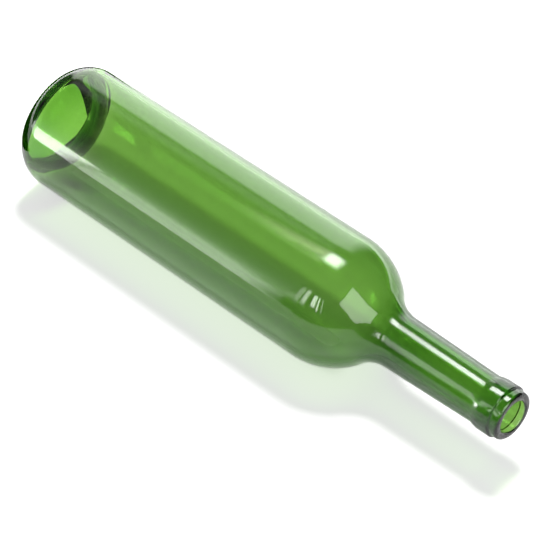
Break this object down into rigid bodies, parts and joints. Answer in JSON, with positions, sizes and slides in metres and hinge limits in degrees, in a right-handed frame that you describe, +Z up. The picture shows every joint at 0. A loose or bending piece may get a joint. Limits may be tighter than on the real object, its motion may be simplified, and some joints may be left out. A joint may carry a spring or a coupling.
{
  "type": "wine bottle",
  "caption": "Empty wine bottle of clear green glass lying on its side, with a tapered body, round shoulder, long banded neck, open mouth and a wide punt in its base.",
  "frame": {"origin": "on the surface that the bottle lies on, below the middle of its length", "axes": "+X along the bottle towards its mouth, +Z up, +Y to the left seen from the base"},
  "size_m": [0.3278, 0.0744, 0.0742],
  "materials": {
    "green_glass": "clear, smooth and glossy, green through its whole thickness"
  },
  "bodies": {
    "root": {"bottle": "green_glass"}
  },
  "joints": []
}
